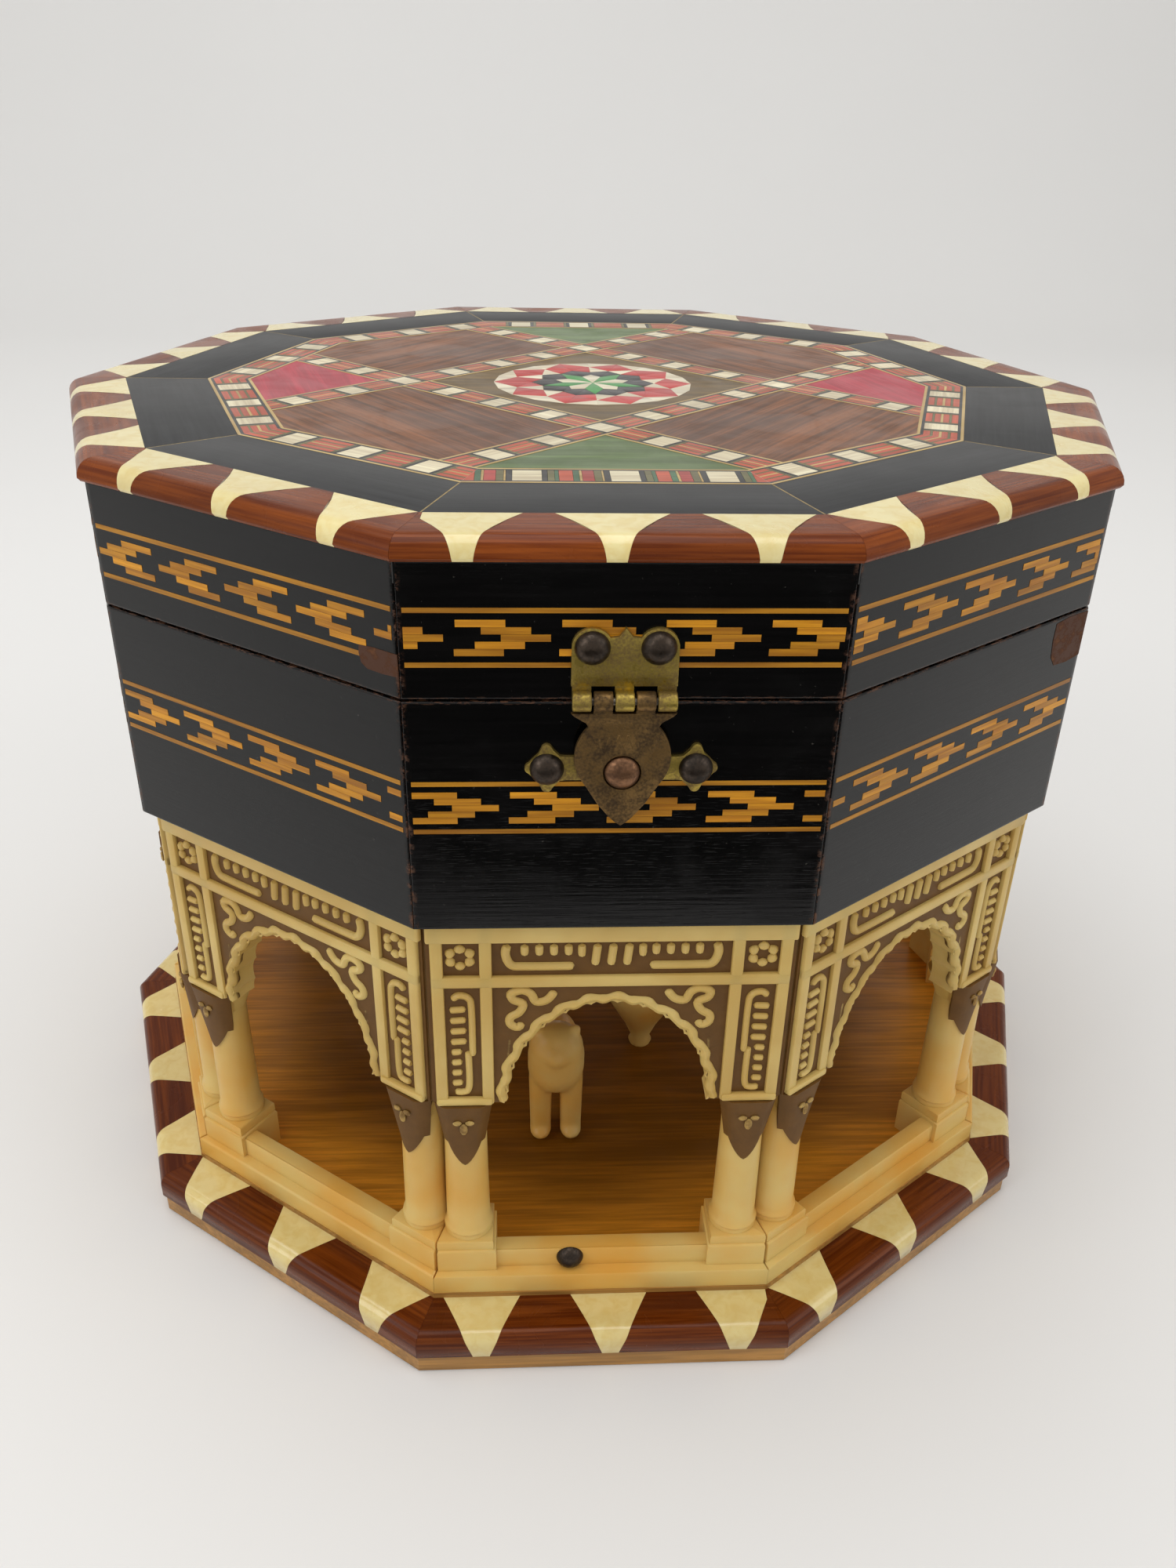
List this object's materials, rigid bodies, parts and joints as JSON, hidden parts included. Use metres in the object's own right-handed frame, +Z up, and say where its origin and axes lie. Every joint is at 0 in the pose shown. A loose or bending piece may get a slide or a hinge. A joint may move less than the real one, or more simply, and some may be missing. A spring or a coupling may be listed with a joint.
{
  "type": "inlaid wooden box",
  "caption": "Ten-sided marquetry box with a hinged inlaid lid and a hasp, standing on an open court of lobed arches and columns with a lion figure inside.",
  "frame": {"origin": "ground under the middle of the base board", "axes": "+Z up, -Y towards the front wall with the hasp, +X to the viewer's right"},
  "size_m": [0.2074, 0.1972, 0.1466],
  "materials": {
    "black_lacquer": "gloss black lacquer on wood",
    "cream_resin": "cream moulded resin with a brown antique wash",
    "base_wood": "varnished plain wood",
    "mahogany": "gloss red-brown varnish",
    "bone": "polished cream bone or resin",
    "court_wood": "gloss golden-brown varnish",
    "figure_resin": "cream moulded resin",
    "red_felt": "felt",
    "wall_marquetry": "tan and black marquetry under lacquer",
    "brass_patina": "aged sheet brass",
    "steel_pin": "steel wire",
    "nail_metal": "darkened brass",
    "black_border": "satin black dyed veneer",
    "lid_banding": "striped banding of dyed woods",
    "brown_veneer": "red-brown veneer",
    "green_veneer": "green dyed veneer",
    "pink_veneer": "pink dyed veneer",
    "centre_veneer": "olive-brown veneer",
    "medallion": "star medallion of dyed woods"
  },
  "bodies": {
    "box": {"box_wall_01": "black_lacquer", "arcade_panel_01": "cream_resin", "box_wall_02": "black_lacquer", "arcade_panel_02": "cream_resin", "box_wall_03": "black_lacquer", "arcade_panel_03": "cream_resin", "box_wall_04": "black_lacquer", "arcade_panel_04": "cream_resin", "box_wall_05": "black_lacquer", "arcade_panel_05": "cream_resin", "box_wall_06": "black_lacquer", "arcade_panel_06": "cream_resin", "box_wall_07": "black_lacquer", "arcade_panel_07": "cream_resin", "box_wall_08": "black_lacquer", "arcade_panel_08": "cream_resin", "box_wall_09": "black_lacquer", "arcade_panel_09": "cream_resin", "box_wall_10": "black_lacquer", "arcade_panel_10": "cream_resin", "base_board": "base_wood", "base_rim_mouldings": "mahogany", "base_rim_wedges": "bone", "court_floor": "court_wood", "court_lion": "figure_resin", "court_fountain": "figure_resin", "box_floor": "base_wood", "box_lining": "red_felt", "box_marquetry_bands": "wall_marquetry", "catch_plate": "brass_patina", "hinge_box_leaves": "brass_patina", "hinge_pins": "steel_pin", "box_nails": "nail_metal"},
    "lid": {"lid_wall_01": "black_lacquer", "lid_wall_02": "black_lacquer", "lid_wall_03": "black_lacquer", "lid_wall_04": "black_lacquer", "lid_wall_05": "black_lacquer", "lid_wall_06": "black_lacquer", "lid_wall_07": "black_lacquer", "lid_wall_08": "black_lacquer", "lid_wall_09": "black_lacquer", "lid_wall_10": "black_lacquer", "lid_top_board": "black_lacquer", "lid_lining": "red_felt", "lid_marquetry_bands": "wall_marquetry", "lid_rim_mouldings": "mahogany", "lid_rim_wedges": "bone", "lid_top_border": "black_border", "lid_top_banding": "lid_banding", "lid_brown_veneers": "brown_veneer", "lid_green_veneers": "green_veneer", "lid_pink_veneers": "pink_veneer", "lid_centre_veneer": "centre_veneer", "lid_medallion": "medallion", "hasp_plate": "brass_patina", "hasp_pin": "steel_pin", "hinge_lid_leaves": "brass_patina", "lid_nails": "nail_metal"},
    "hasp": {"hasp_flap": "brass_patina"}
  },
  "joints": [
    {"name": "lid_hinge", "type": "hinge", "parent": "box", "child": "lid", "pos_m": [0, 0.0919, 0.12415], "axis": [-1, 0, 0], "range_deg": [0, 105]},
    {"name": "hasp_hinge", "type": "hinge", "parent": "lid", "child": "hasp", "pos_m": [0, -0.09165, 0.1248], "axis": [-1, 0, 0], "range_deg": [0, 165]}
  ]
}
